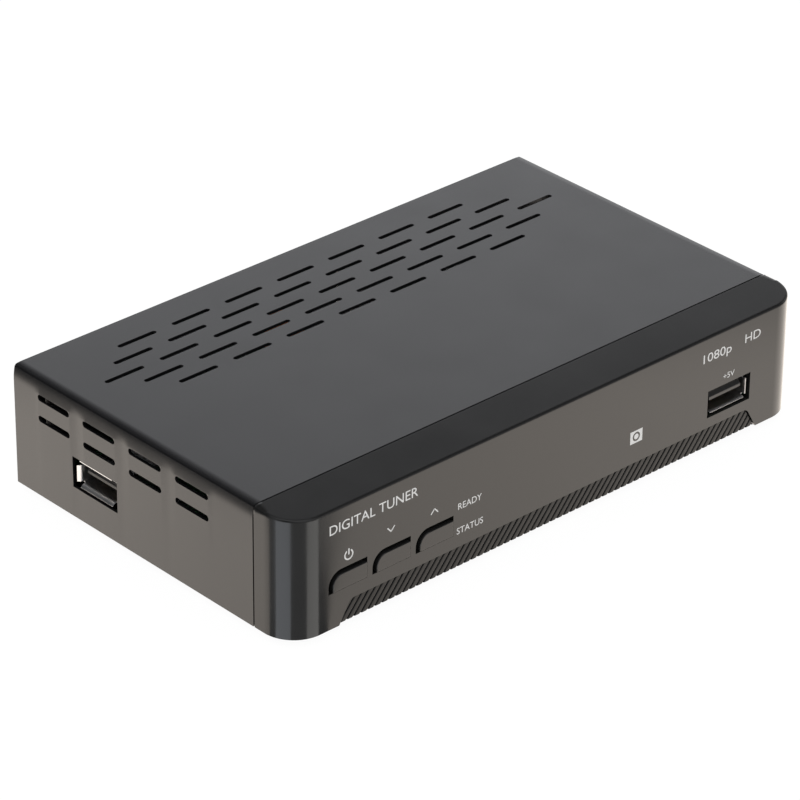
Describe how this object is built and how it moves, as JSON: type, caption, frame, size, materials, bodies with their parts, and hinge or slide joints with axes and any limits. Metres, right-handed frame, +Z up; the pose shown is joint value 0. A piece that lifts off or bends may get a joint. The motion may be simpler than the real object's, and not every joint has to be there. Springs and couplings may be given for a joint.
{
  "type": "digital tv tuner",
  "caption": "Flat black set-top tuner box with a folded steel cover, vent slots, a round-cornered moulded front with push buttons, and USB, video, network and aerial sockets.",
  "frame": {"origin": "middle of the box's footprint, on the surface that the feet stand on", "axes": "+X to the right seen from the front, +Y to the rear, +Z up"},
  "size_m": [0.168, 0.1094, 0.0345],
  "materials": {
    "cover_paint": "black semi-matte powder paint on sheet steel",
    "chassis_paint": "black semi-matte paint on sheet steel",
    "bezel_plastic": "black fine-textured moulded plastic",
    "strip_plastic": "black moulded plastic with diagonal ribs",
    "button_plastic": "black fine-textured moulded plastic",
    "plunger_plastic": "black moulded plastic",
    "switch_steel": "bright stamped steel",
    "board_laminate": "green solder mask on glass laminate",
    "screw_steel": "zinc plated",
    "black_screw": "black zinc plated",
    "lamp_epoxy": "clear epoxy",
    "pipe_acrylic": "clear acrylic",
    "receiver_epoxy": "dark epoxy",
    "connector_black": "black moulded plastic",
    "standoff_brass": "turned brass",
    "shell_steel": "bright nickel plated sheet",
    "contact_gold": "gold plated",
    "orange_plastic": "orange moulded plastic",
    "sleeve_nickel": "nickel plated",
    "insulator_white": "off-white moulded plastic",
    "tin_can": "bright tinplate",
    "chip_epoxy": "black moulding epoxy",
    "sink_aluminium": "extruded aluminium",
    "capacitor_can": "sleeved aluminium can",
    "coil_ferrite": "dark grey ferrite",
    "foot_rubber": "black rubber"
  },
  "bodies": {
    "case": {"top_cover": "cover_paint", "base_chassis": "chassis_paint", "rear_panel": "chassis_paint", "front_bezel": "bezel_plastic", "textured_strip": "strip_plastic", "switch_bodies": "switch_steel", "front_board": "board_laminate", "front_board_screws": "screw_steel", "status_lamps": "lamp_epoxy", "light_pipes": "pipe_acrylic", "infrared_receiver": "receiver_epoxy", "board_header": "connector_black", "main_board": "board_laminate", "standoffs": "standoff_brass", "board_screws": "screw_steel", "front_usb_shell": "shell_steel", "front_usb_tongue": "connector_black", "side_usb_shell": "shell_steel", "side_usb_tongue": "connector_black", "usb_contacts": "contact_gold", "hdmi_shell": "shell_steel", "hdmi_tongue": "connector_black", "lan_shield": "shell_steel", "lan_insert": "connector_black", "lan_contacts": "contact_gold", "scart_shell": "shell_steel", "scart_block": "connector_black", "spdif_body": "orange_plastic", "spdif_sleeve": "sleeve_nickel", "dc_inlet_body": "connector_black", "dc_inlet_pin": "sleeve_nickel", "tuner_can": "tin_can", "rf_in_sleeve": "sleeve_nickel", "rf_in_core": "insulator_white", "rf_out_sleeve": "sleeve_nickel", "rf_out_core": "insulator_white", "processor": "chip_epoxy", "heat_sink": "sink_aluminium", "memory_chips": "chip_epoxy", "capacitors": "capacitor_can", "coils": "coil_ferrite", "lan_transformer": "chip_epoxy", "cover_screws": "black_screw", "chassis_screws": "black_screw", "rubber_feet": "foot_rubber"},
    "power_key": {"power_button": "button_plastic", "power_plunger": "plunger_plastic"},
    "down_key": {"down_button": "button_plastic", "down_plunger": "plunger_plastic"},
    "up_key": {"up_button": "button_plastic", "up_plunger": "plunger_plastic"}
  },
  "joints": [
    {"name": "power_press", "type": "slide", "parent": "case", "child": "power_key", "axis": [0, 1, 0], "range_m": [0, 0.0005], "stiffness_N_per_m": 3000},
    {"name": "down_press", "type": "slide", "parent": "case", "child": "down_key", "axis": [0, 1, 0], "range_m": [0, 0.0005], "stiffness_N_per_m": 3000},
    {"name": "up_press", "type": "slide", "parent": "case", "child": "up_key", "axis": [0, 1, 0], "range_m": [0, 0.0005], "stiffness_N_per_m": 3000}
  ]
}
